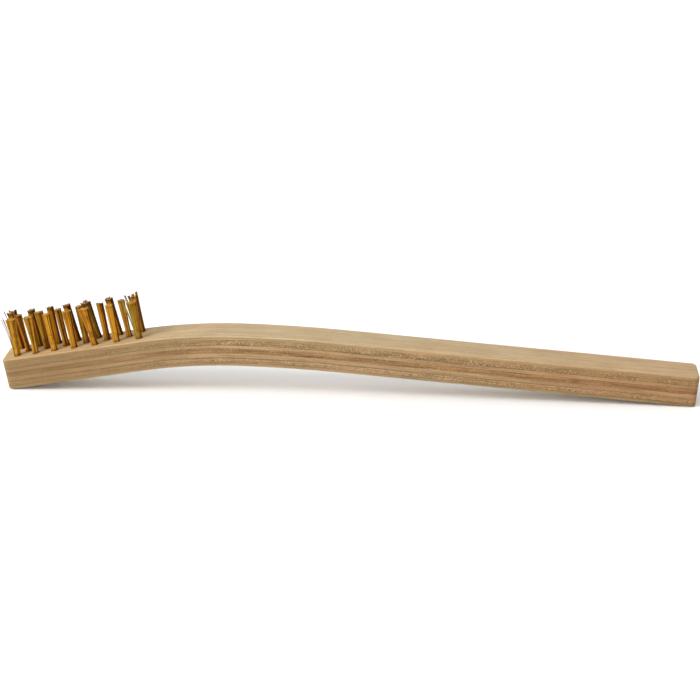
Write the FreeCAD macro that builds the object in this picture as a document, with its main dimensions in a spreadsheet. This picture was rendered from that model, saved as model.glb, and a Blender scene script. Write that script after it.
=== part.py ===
import FreeCAD, Part
import math
import os

import Sketcher

# A small brass scratch brush: a bent plywood strip whose head holds 20 wire tufts.
#
# Millimetres, +Z up. The brush stands on its two ends with the bristles up, and the
# origin is on the surface that it stands on, under the middle of its length. +X runs
# from the head to the tail, and the front row of tufts is at -Y.
#
# Each piece is drawn in the head's own frame and then stood up by its Placement. In
# that frame X runs along the straight head from its free end, and Z is the height
# above the head's underside.

SIZES = {
    # The plywood strip, with its lengths, radii and angles taken on the underside
    "head_length": 39.8,
    "bend_radius": 152.0,
    "bend_angle": 10.55,
    "ease_radius": 436.0,
    "ease_angle": 3.75,
    "tail_length": 101.0,
    "strip_width": 11.1,
    "corner_round": 1.5,
    "edge_round": 0.6,
    # The thickness of each veneer
    "underside_veneer": 1.1,
    "lower_cross_veneer": 1.4,
    "lower_long_veneer": 1.4,
    "middle_cross_veneer": 1.4,
    "upper_long_veneer": 1.1,
    "upper_cross_veneer": 1.6,
    "top_veneer": 1.2,
    # The blind holes, on three staggered rows that open out towards the tail
    "first_hole": 4.3,
    "first_pitch": 5.4,
    "pitch_growth": 0.24,
    "row_offset": 2.85,
    "hole_radius": 1.08,
    "hole_depth": 6.2,
    # The wire tufts
    "tuft_radius": 1.03,
    "tip_round": 0.3,
    "trim_height": 11.0,
    # The flat anchors, wedged across the holes just above the wires' fold
    "anchor_length": 2.8,
    "anchor_thickness": 0.4,
    "anchor_height": 1.6,
    "anchor_rise": 0.65,
    "anchor_chamfer": 0.15,
}

# The veneers from the underside up: the node's name and its thickness in SIZES
VENEERS = (
    ("ply_1_underside", "underside_veneer"),
    ("ply_2_cross_grain", "lower_cross_veneer"),
    ("ply_3_long_grain", "lower_long_veneer"),
    ("ply_4_cross_grain", "middle_cross_veneer"),
    ("ply_5_long_grain", "upper_long_veneer"),
    ("ply_6_cross_grain", "upper_cross_veneer"),
    ("ply_7_top", "top_veneer"),
)

# The tufts of each row, from the head's free end: how far each tip leans to the tail
LEANS = {
    "front": (0.4, 0.2, 0.0, 0.3, -0.5, 0.2, 0.5),
    "middle": (-0.6, 0.3, -0.1, 0.1, 0.1, -0.1),
    "back": (-0.4, -0.1, -0.1, -1.1, -1.4, -1.0, -0.3),
}

# How wide each tuft has opened out at its tip, as a radius, in the same order
TIP_RADII = {
    "front": (1.45, 1.3, 1.2, 1.3, 1.3, 1.3, 1.6),
    "middle": (1.1, 1.15, 1.1, 1.1, 1.1, 1.1),
    "back": (1.4, 1.2, 1.1, 1.25, 1.4, 1.3, 1.5),
}

# Which side of the middle each row is on, and how many pitches it starts late
ROW_SIDE = {"front": -1, "middle": 0, "back": 1}
ROW_STAGGER = {"front": 0.0, "middle": 0.5, "back": 0.0}

document = FreeCAD.newDocument("wire_brush")
sheet = document.addObject("Spreadsheet::Sheet", "Sizes")


def lean_alias(row, number):
    return row + "_lean_" + str(number)


def tip_alias(row, number):
    return row + "_tip_radius_" + str(number)


def fill_sheet():
    values = dict(SIZES)
    for row, number in every_tuft():
        values[lean_alias(row, number)] = LEANS[row][number - 1]
        values[tip_alias(row, number)] = TIP_RADII[row][number - 1]
    for line, (alias, value) in enumerate(values.items(), start=1):
        sheet.set("A" + str(line), alias)
        sheet.set("B" + str(line), str(value))
        sheet.setAlias("B" + str(line), alias)
    document.recompute()


def size(alias):
    return float(sheet.get(alias))


def cell(alias):
    return "Sizes." + alias


def stack_expression(count):
    """The height of the first veneers above the underside, as an expression."""
    return " + ".join(cell(alias) for name, alias in VENEERS[:count])


def stack_height(count):
    return sum(size(alias) for name, alias in VENEERS[:count])


def pitches_along(index):
    """How many first pitches and growths hole number index is from the first one."""
    return index, index * (index - 1) / 2


def hole_x_expression(row, number):
    pitches, growths = pitches_along(number - 1 + ROW_STAGGER[row])
    return "{} + {} * {} + {} * {}".format(
        cell("first_hole"), pitches, cell("first_pitch"), growths, cell("pitch_growth"))


def hole_x(row, number):
    pitches, growths = pitches_along(number - 1 + ROW_STAGGER[row])
    return size("first_hole") + pitches * size("first_pitch") + growths * size("pitch_growth")


def hole_y_expression(row):
    return "{} * {}".format(ROW_SIDE[row], cell("row_offset"))


def hole_y(row):
    return ROW_SIDE[row] * size("row_offset")


def every_tuft():
    for row, leans in LEANS.items():
        for number in range(1, len(leans) + 1):
            yield row, number


# The bent line of the strip. Both bends turn down towards the tail, so their centres
# lie below the underside, and every veneer is concentric with it.

def radial(turned):
    """The direction away from a bend's centre, in the side view, after so many degrees."""
    return FreeCAD.Vector(math.sin(math.radians(turned)), math.cos(math.radians(turned)), 0)


def along(turned):
    return FreeCAD.Vector(math.cos(math.radians(turned)), -math.sin(math.radians(turned)), 0)


def bend_centre():
    return FreeCAD.Vector(size("head_length"), -size("bend_radius"), 0)


def ease_centre():
    return bend_centre() - radial(size("bend_angle")) * (size("ease_radius") - size("bend_radius"))


def full_turn():
    return size("bend_angle") + size("ease_angle")


def tail_start(height):
    return ease_centre() + radial(full_turn()) * (size("ease_radius") + height)


def tail_end(height):
    return tail_start(height) + along(full_turn()) * size("tail_length")


def standing_placement():
    """Puts the rounded lower edges of both ends on Z = 0, with the length centred."""
    edge = size("edge_round")
    thickness = stack_height(len(VENEERS))
    head_foot = FreeCAD.Vector(edge, edge, 0)
    tail_foot = tail_end(edge) - along(full_turn()) * edge
    tilt = math.atan2(head_foot.y - tail_foot.y, tail_foot.x - head_foot.x)

    def stood(point):
        x = point.x * math.cos(tilt) - point.y * math.sin(tilt)
        z = point.x * math.sin(tilt) + point.y * math.cos(tilt)
        return x, z

    head_top = FreeCAD.Vector(edge, thickness - edge, 0)
    tail_top = tail_end(thickness - edge) - along(full_turn()) * edge
    leftmost = stood(head_top)[0] - edge
    rightmost = stood(tail_top)[0] + edge
    shift = FreeCAD.Vector(-(leftmost + rightmost) / 2, 0, edge - stood(head_foot)[1])
    turn = FreeCAD.Rotation(FreeCAD.Vector(0, 1, 0), -math.degrees(tilt))
    return FreeCAD.Placement(shift, turn)


def new_body(label):
    body = document.addObject("PartDesign::Body", label)
    body.Label = label
    return body


def new_sketch(body, name, plane, offset_expression=None):
    sketch = body.newObject("Sketcher::SketchObject", name)
    planes = [feature for feature in body.Origin.OriginFeatures if feature.Role == plane]
    sketch.AttachmentSupport = [(planes[0], "")]
    sketch.MapMode = "FlatFace"
    if offset_expression:
        sketch.setExpression("AttachmentOffset.Base.z", offset_expression)
    return sketch


def bind(sketch, constraint, name, expression):
    """Adds a dimension to a sketch and ties it to the spreadsheet."""
    index = sketch.addConstraint(constraint)
    sketch.renameConstraint(index, name)
    sketch.setExpression("Constraints." + name, expression)


# Names for Sketcher's point positions and for a sketch's own origin and axis
START, END, CENTRE = 1, 2, 3
ORIGIN, ORIGIN_POINT, HORIZONTAL_AXIS, VERTICAL_AXIS = -1, 1, -1, -2

# Closer than this, two points of the model are the same place
TOUCH = 0.001


def bent_line(sketch, height):
    """Draws the bent line at one height: head line, bend, easing bend and tail line."""
    upward = FreeCAD.Vector(0, 0, 1)
    bend = Part.Circle(bend_centre(), upward, size("bend_radius") + height)
    ease = Part.Circle(ease_centre(), upward, size("ease_radius") + height)
    bend_from, bend_to = math.radians(90), math.radians(90 - size("bend_angle"))
    ease_to = math.radians(90 - full_turn())
    head_start = FreeCAD.Vector(0, height, 0)
    head_end = FreeCAD.Vector(size("head_length"), height, 0)
    head_line = sketch.addGeometry(Part.LineSegment(head_start, head_end))
    bend_arc = sketch.addGeometry(Part.ArcOfCircle(bend, bend_to, bend_from))
    ease_arc = sketch.addGeometry(Part.ArcOfCircle(ease, ease_to, bend_to))
    tail_line = sketch.addGeometry(Part.LineSegment(tail_start(height), tail_end(height)))
    sketch.addConstraint([
        Sketcher.Constraint("Tangent", head_line, END, bend_arc, END),
        Sketcher.Constraint("Tangent", bend_arc, START, ease_arc, END),
        Sketcher.Constraint("Tangent", ease_arc, START, tail_line, START),
        Sketcher.Constraint("Horizontal", head_line)])
    return head_line, bend_arc, ease_arc, tail_line


def side_view(body, below, above):
    """One veneer's side view, between two heights of the stack."""
    sketch = new_sketch(body, "side_view", "XZ_Plane")
    low, high = stack_height(below), stack_height(above)
    head_line, bend_arc, ease_arc, tail_line = bent_line(sketch, low)
    upper_head, upper_bend, upper_ease, upper_tail = bent_line(sketch, high)
    head_cut = sketch.addGeometry(Part.LineSegment(
        FreeCAD.Vector(0, low, 0), FreeCAD.Vector(0, high, 0)))
    tail_cut = sketch.addGeometry(Part.LineSegment(tail_end(low), tail_end(high)))
    sketch.addConstraint([
        Sketcher.Constraint("Coincident", head_cut, START, head_line, START),
        Sketcher.Constraint("Coincident", head_cut, END, upper_head, START),
        Sketcher.Constraint("Coincident", tail_cut, START, tail_line, END),
        Sketcher.Constraint("Coincident", tail_cut, END, upper_tail, END),
        Sketcher.Constraint("Coincident", bend_arc, CENTRE, upper_bend, CENTRE),
        Sketcher.Constraint("Coincident", ease_arc, CENTRE, upper_ease, CENTRE),
        Sketcher.Constraint("PointOnObject", head_cut, START, VERTICAL_AXIS),
        Sketcher.Constraint("Vertical", head_cut),
        Sketcher.Constraint("Parallel", tail_line, upper_tail),
        Sketcher.Constraint("Perpendicular", tail_line, tail_cut)])

    bind(sketch, Sketcher.Constraint(
        "DistanceX", ORIGIN, ORIGIN_POINT, head_line, END, size("head_length")),
        "head_length", cell("head_length"))
    bind(sketch, Sketcher.Constraint(
        "DistanceY", bend_arc, CENTRE, ORIGIN, ORIGIN_POINT, size("bend_radius")),
        "bend_depth", cell("bend_radius"))
    bind(sketch, Sketcher.Constraint("Radius", bend_arc, size("bend_radius") + low),
         "lower_bend", raised_radius("bend_radius", below))
    bind(sketch, Sketcher.Constraint("Radius", upper_bend, size("bend_radius") + high),
         "upper_bend", raised_radius("bend_radius", above))
    bind(sketch, Sketcher.Constraint("Radius", ease_arc, size("ease_radius") + low),
         "lower_ease", raised_radius("ease_radius", below))
    bind(sketch, Sketcher.Constraint("Angle", bend_arc, math.radians(size("bend_angle"))),
         "bend_angle", cell("bend_angle"))
    bind(sketch, Sketcher.Constraint("Angle", ease_arc, math.radians(size("ease_angle"))),
         "ease_angle", cell("ease_angle"))
    bind(sketch, Sketcher.Constraint("Distance", tail_line, size("tail_length")),
         "tail_length", cell("tail_length"))
    return sketch


def raised_radius(radius_alias, count):
    """A bend's radius at the top of the first veneers, as an expression."""
    return " + ".join([cell(radius_alias)] + [cell(alias) for name, alias in VENEERS[:count]])


def pad_across(body, sketch):
    """Gives a side view the strip's full width, half of it on each side of the middle."""
    pad = body.newObject("PartDesign::Pad", "veneer")
    pad.Profile = sketch
    pad.SideType = "Symmetric"
    pad.setExpression("Length", cell("strip_width"))
    document.recompute()


def height_at(point):
    """How far a point of the head's frame is above the underside, anywhere on the strip."""
    flat = FreeCAD.Vector(point.x, point.z, 0)
    if point.x <= size("head_length"):
        return flat.y
    from_bend = flat - bend_centre()
    if math.degrees(math.atan2(from_bend.x, from_bend.y)) <= size("bend_angle"):
        return from_bend.Length - size("bend_radius")
    from_ease = flat - ease_centre()
    if math.degrees(math.atan2(from_ease.x, from_ease.y)) <= full_turn():
        return from_ease.Length - size("ease_radius")
    return (flat - tail_start(0)).dot(radial(full_turn()))


def numbered_edges(shape, wanted):
    """The names of a shape's edges that pass a test."""
    return ["Edge" + str(number) for number, edge in enumerate(shape.Edges, start=1)
            if wanted(edge)]


def end_heights(edge):
    return [height_at(vertex.Point) for vertex in edge.Vertexes]


def is_corner(edge):
    """True for the four corners of the end cuts, which run through the thickness."""
    first, last = end_heights(edge)
    return abs(first - last) > TOUCH


def is_outline(edge, face_height):
    """True for the edges around a face, and not for the seams across it."""
    first, last = [vertex.Point.y for vertex in edge.Vertexes]
    on_face = all(abs(height - face_height) < TOUCH for height in end_heights(edge))
    return on_face and abs(first - last) < size("strip_width") - TOUCH


def round_edges(body, name, wanted, radius_alias):
    """Rounds the edges of a body's last feature that pass a test."""
    base = body.Tip
    fillet = body.newObject("PartDesign::Fillet", name)
    fillet.Base = (base, numbered_edges(base.Shape, wanted))
    fillet.setExpression("Radius", cell(radius_alias))
    document.recompute()


def cut(body, sketch, length_expression, both_ways=False):
    """Cuts a sketch into the body and checks that it took something away."""
    before = body.Shape.Volume
    pocket = body.newObject("PartDesign::Pocket", sketch.Name + "_cut")
    pocket.Profile = sketch
    if both_ways:
        pocket.SideType = "Symmetric"
    pocket.setExpression("Length", length_expression)
    document.recompute()
    if body.Shape.Volume > before - TOUCH:
        raise ValueError(sketch.Label + " cuts nothing from " + body.Label)


def rectangle(sketch, left, bottom, width, height):
    """Draws a rectangle with level sides and gives its lines, the bottom one first."""
    corners = [
        FreeCAD.Vector(left, bottom, 0),
        FreeCAD.Vector(left + width, bottom, 0),
        FreeCAD.Vector(left + width, bottom + height, 0),
        FreeCAD.Vector(left, bottom + height, 0)]
    following = corners[1:] + corners[:1]
    lines = [sketch.addGeometry(Part.LineSegment(first, last))
             for first, last in zip(corners, following)]
    low, right, high, left = lines
    sketch.addConstraint([
        Sketcher.Constraint("Coincident", low, END, right, START),
        Sketcher.Constraint("Coincident", right, END, high, START),
        Sketcher.Constraint("Coincident", high, END, left, START),
        Sketcher.Constraint("Coincident", left, END, low, START),
        Sketcher.Constraint("Horizontal", low),
        Sketcher.Constraint("Horizontal", high),
        Sketcher.Constraint("Vertical", right),
        Sketcher.Constraint("Vertical", left)])
    return low, right


def drill_holes(body):
    """The tuft holes, drilled square to the head's top face."""
    sketch = new_sketch(body, "hole_layout", "XY_Plane", stack_expression(len(VENEERS)))
    first_circle = None
    for row, number in every_tuft():
        name = "{}_{}".format(row, number)
        centre = FreeCAD.Vector(hole_x(row, number), hole_y(row), 0)
        circle = sketch.addGeometry(
            Part.Circle(centre, FreeCAD.Vector(0, 0, 1), size("hole_radius")))
        if first_circle is None:
            first_circle = circle
            bind(sketch, Sketcher.Constraint("Radius", circle, size("hole_radius")),
                 "hole_radius", cell("hole_radius"))
        else:
            sketch.addConstraint(Sketcher.Constraint("Equal", first_circle, circle))
        bind(sketch, Sketcher.Constraint(
            "DistanceX", ORIGIN, ORIGIN_POINT, circle, CENTRE, centre.x),
            name + "_x", hole_x_expression(row, number))
        bind(sketch, Sketcher.Constraint(
            "DistanceY", ORIGIN, ORIGIN_POINT, circle, CENTRE, centre.y),
            name + "_y", hole_y_expression(row))
    cut(body, sketch, cell("hole_depth"))


def press_anchor_slots(body):
    """The slots that the anchors' ends press into the wood beside each hole."""
    level = "{} - {} + {} + {}".format(
        stack_expression(len(VENEERS)),
        cell("hole_depth"), cell("anchor_rise"), cell("anchor_height"))
    sketch = new_sketch(body, "anchor_slots", "XY_Plane", level)
    first_low, first_right = None, None
    for row, number in every_tuft():
        name = "{}_{}".format(row, number)
        left = hole_x(row, number) - size("anchor_length") / 2
        bottom = hole_y(row) - size("anchor_thickness") / 2
        low, right = rectangle(
            sketch, left, bottom, size("anchor_length"), size("anchor_thickness"))
        if first_low is None:
            first_low, first_right = low, right
            bind(sketch, Sketcher.Constraint("Distance", low, size("anchor_length")),
                 "slot_length", cell("anchor_length"))
            bind(sketch, Sketcher.Constraint("Distance", right, size("anchor_thickness")),
                 "slot_width", cell("anchor_thickness"))
        else:
            sketch.addConstraint([
                Sketcher.Constraint("Equal", first_low, low),
                Sketcher.Constraint("Equal", first_right, right)])
        bind(sketch, Sketcher.Constraint(
            "DistanceX", ORIGIN, ORIGIN_POINT, low, START, left), name + "_x",
            "{} - {} / 2".format(hole_x_expression(row, number), cell("anchor_length")))
        bind(sketch, Sketcher.Constraint(
            "DistanceY", ORIGIN, ORIGIN_POINT, low, START, bottom), name + "_y",
            "{} - {} / 2".format(hole_y_expression(row), cell("anchor_thickness")))
    cut(body, sketch, cell("anchor_height"))


def make_veneer(index, placement):
    """One bent veneer, cut by the holes and by the anchors that reach it."""
    body = new_body(VENEERS[index][0])
    bottom, top = stack_height(index), stack_height(index + 1)
    pad_across(body, side_view(body, index, index + 1))
    round_edges(body, "end_corners", is_corner, "corner_round")
    if index == 0:
        round_edges(body, "eased_rim", lambda edge: is_outline(edge, bottom), "edge_round")
    if index == len(VENEERS) - 1:
        round_edges(body, "eased_rim", lambda edge: is_outline(edge, top), "edge_round")
    hole_bottom = stack_height(len(VENEERS)) - size("hole_depth")
    anchor_bottom = hole_bottom + size("anchor_rise")
    anchor_top = anchor_bottom + size("anchor_height")
    if top > hole_bottom + TOUCH:
        drill_holes(body)
    if top > anchor_bottom + TOUCH and bottom < anchor_top - TOUCH:
        press_anchor_slots(body)
    body.Placement = placement
    return body


# The tufts and anchors are drawn with the hole's axis as Z and its mouth at Z = 0.

def circle_sketch(body, name, radius_alias, level_expression=None, lean=None):
    """A circle around the tuft's axis, or moved towards the tail by the tuft's lean."""
    sketch = new_sketch(body, name, "XY_Plane", level_expression)
    shift = size(lean) if lean else 0.0
    circle = sketch.addGeometry(Part.Circle(
        FreeCAD.Vector(shift, 0, 0), FreeCAD.Vector(0, 0, 1), size(radius_alias)))
    bind(sketch, Sketcher.Constraint("Radius", circle, size(radius_alias)),
         "radius", cell(radius_alias))
    sketch.addConstraint(Sketcher.Constraint("PointOnObject", circle, CENTRE, HORIZONTAL_AXIS))
    if lean:
        bind(sketch, Sketcher.Constraint(
            "DistanceX", ORIGIN, ORIGIN_POINT, circle, CENTRE, shift), "lean", cell(lean))
    else:
        sketch.addConstraint(Sketcher.Constraint("PointOnObject", circle, CENTRE, VERTICAL_AXIS))
    return sketch


def make_tuft(row, number, placement):
    """A bundle of wires: straight in its hole, leaning and opening out above it."""
    body = new_body("tuft_{}_{}".format(row, number))
    mouth = circle_sketch(body, "mouth", "tuft_radius")
    root = body.newObject("PartDesign::Pad", "root")
    root.Profile = mouth
    root.Reversed = True
    root.setExpression("Length", cell("hole_depth"))
    document.recompute()

    tip = circle_sketch(
        body, "tip", tip_alias(row, number), cell("trim_height"), lean_alias(row, number))
    bristles = body.newObject("PartDesign::AdditiveLoft", "bristles")
    bristles.Profile = mouth
    bristles.Sections = [tip]
    bristles.Ruled = True
    document.recompute()

    round_edges(body, "trimmed_tip", is_tip_edge, "tip_round")
    cut_anchor_gap(body)
    body.Placement = placement.multiply(hole_placement(row, number))
    return body


def is_tip_edge(edge):
    return abs(edge.CenterOfMass.z - size("trim_height")) < TOUCH


def cut_anchor_gap(body):
    """The gap that the anchor fills, between the two legs of the folded wires."""
    sketch = new_sketch(body, "anchor_gap", "YZ_Plane")
    bottom = size("anchor_rise") - size("hole_depth")
    low, right = rectangle(sketch, -size("anchor_thickness") / 2, bottom,
                           size("anchor_thickness"), size("anchor_height"))
    bind(sketch, Sketcher.Constraint(
        "DistanceX", low, START, ORIGIN, ORIGIN_POINT, size("anchor_thickness") / 2),
        "gap_half_width", cell("anchor_thickness") + " / 2")
    bind(sketch, Sketcher.Constraint("Distance", low, size("anchor_thickness")),
         "gap_width", cell("anchor_thickness"))
    bind(sketch, Sketcher.Constraint("Distance", right, size("anchor_height")),
         "gap_height", cell("anchor_height"))
    bind(sketch, Sketcher.Constraint("DistanceY", low, START, ORIGIN, ORIGIN_POINT, -bottom),
         "gap_depth", cell("hole_depth") + " - " + cell("anchor_rise"))
    cut(body, sketch, "2 * " + cell("anchor_length"), both_ways=True)


def make_anchor(row, number, placement):
    """A flat blade of wire, with its lower corners nipped off so that it starts true."""
    body = new_body("anchor_{}_{}".format(row, number))
    blade = body.newObject("PartDesign::AdditiveBox", "blade")
    blade.setExpression("Length", cell("anchor_length"))
    blade.setExpression("Width", cell("anchor_thickness"))
    blade.setExpression("Height", cell("anchor_height"))
    document.recompute()
    nipped = body.newObject("PartDesign::Chamfer", "nipped_corners")
    nipped.Base = (blade, numbered_edges(blade.Shape, is_lower_corner))
    nipped.setExpression("Size", cell("anchor_chamfer"))
    document.recompute()
    seat = FreeCAD.Placement(FreeCAD.Vector(
        -size("anchor_length") / 2,
        -size("anchor_thickness") / 2,
        size("anchor_rise") - size("hole_depth")), FreeCAD.Rotation())
    body.Placement = placement.multiply(hole_placement(row, number)).multiply(seat)
    return body


def is_lower_corner(edge):
    """True for the blade's two short lower edges, across its thickness."""
    short = abs(edge.Length - size("anchor_thickness")) < TOUCH
    return short and abs(edge.CenterOfMass.z) < TOUCH


def hole_placement(row, number):
    mouth = FreeCAD.Vector(hole_x(row, number), hole_y(row), stack_height(len(VENEERS)))
    return FreeCAD.Placement(mouth, FreeCAD.Rotation())


def check(bodies):
    """Stops before anything is written if any object failed or any piece is not sound."""
    for thing in document.Objects:
        if "Invalid" in thing.State or "Error" in thing.State:
            raise ValueError(thing.Label + " did not recompute: " + str(thing.State))
    for body in bodies:
        if body.Shape.isNull() or not body.Shape.isValid():
            raise ValueError(body.Label + " has no valid shape")
        if len(body.Shape.Solids) != 1:
            raise ValueError(body.Label + " is not one solid")


def write(bodies):
    os.makedirs("parts", exist_ok=True)
    for body in bodies:
        body.Shape.exportStep("parts/" + body.Label + ".step")


fill_sheet()
standing = standing_placement()
pieces = [make_veneer(index, standing) for index in range(len(VENEERS))]
pieces += [make_tuft(row, number, standing) for row, number in every_tuft()]
pieces += [make_anchor(row, number, standing) for row, number in every_tuft()]
document.recompute()
check(pieces)
write(pieces)
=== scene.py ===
import math
import random

import bpy
import numpy as np
from mathutils import Matrix, Vector


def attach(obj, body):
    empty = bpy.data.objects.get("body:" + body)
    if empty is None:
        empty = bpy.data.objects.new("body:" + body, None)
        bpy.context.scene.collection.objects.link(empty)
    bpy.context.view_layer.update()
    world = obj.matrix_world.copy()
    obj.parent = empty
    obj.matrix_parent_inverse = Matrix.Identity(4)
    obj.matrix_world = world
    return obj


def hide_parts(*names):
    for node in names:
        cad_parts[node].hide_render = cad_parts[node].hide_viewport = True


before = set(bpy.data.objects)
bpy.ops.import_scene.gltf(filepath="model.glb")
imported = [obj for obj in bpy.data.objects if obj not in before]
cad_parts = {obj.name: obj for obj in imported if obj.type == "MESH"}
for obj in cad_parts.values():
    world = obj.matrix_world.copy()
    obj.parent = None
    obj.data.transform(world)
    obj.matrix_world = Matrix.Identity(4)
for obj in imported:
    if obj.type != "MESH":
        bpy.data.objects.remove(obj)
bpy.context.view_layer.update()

# A brass scratch brush: a bent plywood handle whose head holds 20 tufts of folded wire.
#
# The head's own frame is used throughout: U runs along the straight head from its free
# end, Y across it and V up from its underside. HEAD turns it into the row's frame.

MM = 0.001

# The strip's bent line, on its underside, as the CAD model has it: the straight head, the
# bend, a gentler bend that eases out of it, and the straight tail
HEAD_LENGTH = 39.8 * MM
BEND_RADIUS = 152.0 * MM
BEND_ANGLE = math.radians(10.55)
EASE_RADIUS = 436.0 * MM
EASE_ANGLE = math.radians(3.75)
TAIL_LENGTH = 101.0 * MM
EDGE_ROUND = 0.6 * MM
FULL_TURN = BEND_ANGLE + EASE_ANGLE

# The veneers from the underside up, and their thickness
VENEERS = {
    "ply_1_underside": 1.1 * MM,
    "ply_2_cross_grain": 1.4 * MM,
    "ply_3_long_grain": 1.4 * MM,
    "ply_4_cross_grain": 1.4 * MM,
    "ply_5_long_grain": 1.1 * MM,
    "ply_6_cross_grain": 1.6 * MM,
    "ply_7_top": 1.2 * MM,
}
THICKNESS = sum(VENEERS.values())


# ---------------------------------------------------------------- the head's frame

def radial(turned):
    return Vector((math.sin(turned), 0, math.cos(turned)))


def along(turned):
    return Vector((math.cos(turned), 0, -math.sin(turned)))


BEND_CENTRE = Vector((HEAD_LENGTH, 0, -BEND_RADIUS))
EASE_CENTRE = BEND_CENTRE - radial(BEND_ANGLE) * (EASE_RADIUS - BEND_RADIUS)


def tail_start(height):
    return EASE_CENTRE + radial(FULL_TURN) * (EASE_RADIUS + height)


def tail_end(height):
    return tail_start(height) + along(FULL_TURN) * TAIL_LENGTH


def standing_matrix():
    """Stands the strip on the rounded lower edges of both ends, with its length centred."""
    head_foot = Vector((EDGE_ROUND, 0, EDGE_ROUND))
    tail_foot = tail_end(EDGE_ROUND) - along(FULL_TURN) * EDGE_ROUND
    tilt = math.atan2(head_foot.z - tail_foot.z, tail_foot.x - head_foot.x)
    turn = Matrix.Rotation(-tilt, 4, "Y")
    head_top = turn @ Vector((EDGE_ROUND, 0, THICKNESS - EDGE_ROUND))
    tail_top = turn @ (tail_end(THICKNESS - EDGE_ROUND) - along(FULL_TURN) * EDGE_ROUND)
    middle = (head_top.x + tail_top.x) / 2
    return Matrix.Translation((-middle, 0, EDGE_ROUND - (turn @ head_foot).z)) @ turn


HEAD = standing_matrix()


# ---------------------------------------------------------------- shader arithmetic

class Signal:
    """A number that varies over a surface: one output of a shader node."""

    def __init__(self, sheet, socket):
        self.sheet = sheet
        self.socket = socket

    def __add__(self, other):
        return self.sheet.math("ADD", self, other)

    def __radd__(self, other):
        return self.sheet.math("ADD", other, self)

    def __sub__(self, other):
        return self.sheet.math("SUBTRACT", self, other)

    def __rsub__(self, other):
        return self.sheet.math("SUBTRACT", other, self)

    def __mul__(self, other):
        return self.sheet.math("MULTIPLY", self, other)

    def __truediv__(self, other):
        return self.sheet.math("DIVIDE", self, other)


class Sheet:
    """A node tree, with short ways to add the nodes that these materials use."""

    def __init__(self, tree):
        self.tree = tree

    def plug(self, socket, value):
        """Sets an input to a number or a colour, or links a signal to it."""
        if isinstance(value, Signal):
            self.tree.links.new(value.socket, socket)
        else:
            socket.default_value = value

    def node(self, kind, **settings):
        made = self.tree.nodes.new("ShaderNode" + kind)
        for name, value in settings.items():
            setattr(made, name, value)
        return made

    def object_point(self):
        """A point's place in its object, in metres."""
        return Signal(self, self.node("TexCoord").outputs["Object"])

    def split(self, point):
        """A point's x, y and z."""
        parts = self.node("SeparateXYZ")
        self.plug(parts.inputs[0], point)
        return [Signal(self, socket) for socket in parts.outputs]

    def point(self, x, y, z):
        made = self.node("CombineXYZ")
        for socket, value in zip(made.inputs, (x, y, z)):
            self.plug(socket, value)
        return Signal(self, made.outputs[0])

    def math(self, operation, *values):
        made = self.node("Math", operation=operation)
        for socket, value in zip(made.inputs, values):
            self.plug(socket, value)
        return Signal(self, made.outputs[0])

    def clamp(self, value, low, high):
        return self.math("MINIMUM", self.math("MAXIMUM", value, low), high)

    def size_of(self, value):
        return self.math("ABSOLUTE", value)

    def noise(self, point, scale=1.0, detail=3.0, roughness=0.5):
        made = self.node("TexNoise")
        self.plug(made.inputs["Vector"], point)
        self.plug(made.inputs["Scale"], scale)
        self.plug(made.inputs["Detail"], detail)
        self.plug(made.inputs["Roughness"], roughness)
        return Signal(self, made.outputs[0])

    def cells(self, position, seed):
        """How far a place on a line is from the nearest of its random divisions."""
        made = self.node("TexVoronoi", voronoi_dimensions="1D", feature="DISTANCE_TO_EDGE")
        self.plug(made.inputs["W"], position + seed)
        self.plug(made.inputs["Scale"], 1.0)
        return Signal(self, made.outputs["Distance"])

    def step(self, value, low, high):
        """Rises smoothly from 0 to 1 as the value goes from low to high."""
        made = self.node("MapRange", interpolation_type="SMOOTHSTEP")
        self.plug(made.inputs["Value"], value)
        self.plug(made.inputs["From Min"], low)
        self.plug(made.inputs["From Max"], high)
        return Signal(self, made.outputs[0])

    def mix(self, factor, first, second, blend="MIX"):
        """Mixes two colours."""
        made = self.node("Mix", data_type="RGBA", blend_type=blend)
        self.plug(made.inputs[0], factor)
        self.plug(made.inputs[6], first)
        self.plug(made.inputs[7], second)
        return Signal(self, made.outputs[2])

    def tint(self, factor, colour, filter_colour):
        """A colour as seen through a filter, as far as the factor says."""
        return self.mix(factor, colour, filter_colour, blend="MULTIPLY")

    def attribute(self, name):
        made = self.node("Attribute", attribute_name=name)
        return Signal(self, made.outputs["Fac"])

    def bump(self, height, distance):
        made = self.node("Bump")
        self.plug(made.inputs["Height"], height)
        self.plug(made.inputs["Distance"], distance)
        return Signal(self, made.outputs[0])

    def surface(self, inputs):
        """The Principled shader and the material's output."""
        shader = self.node("BsdfPrincipled")
        for name, value in inputs.items():
            self.plug(shader.inputs[name], value)
        output = self.node("OutputMaterial")
        self.tree.links.new(shader.outputs[0], output.inputs[0])


def new_material(name):
    material = bpy.data.materials.new(name)
    material.use_nodes = True
    material.node_tree.nodes.clear()
    return material, Sheet(material.node_tree)


def weighted(*layers):
    """The sum of some noises, each taken from its middle value and given a weight."""
    total = None
    for noise, weight in layers:
        layer = (noise - 0.5) * weight
        total = layer if total is None else total + layer
    return total


def linear(level):
    """One channel of a screen colour, from 0 to 255, as linear light."""
    share = level / 255
    if share <= 0.04045:
        return share / 12.92
    return ((share + 0.055) / 1.055) ** 2.4


def tone(red, green, blue):
    return (linear(red), linear(green), linear(blue), 1.0)


def grey(level):
    return (level, level, level, 1.0)


# ---------------------------------------------------------------- the strip's coordinates

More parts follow.
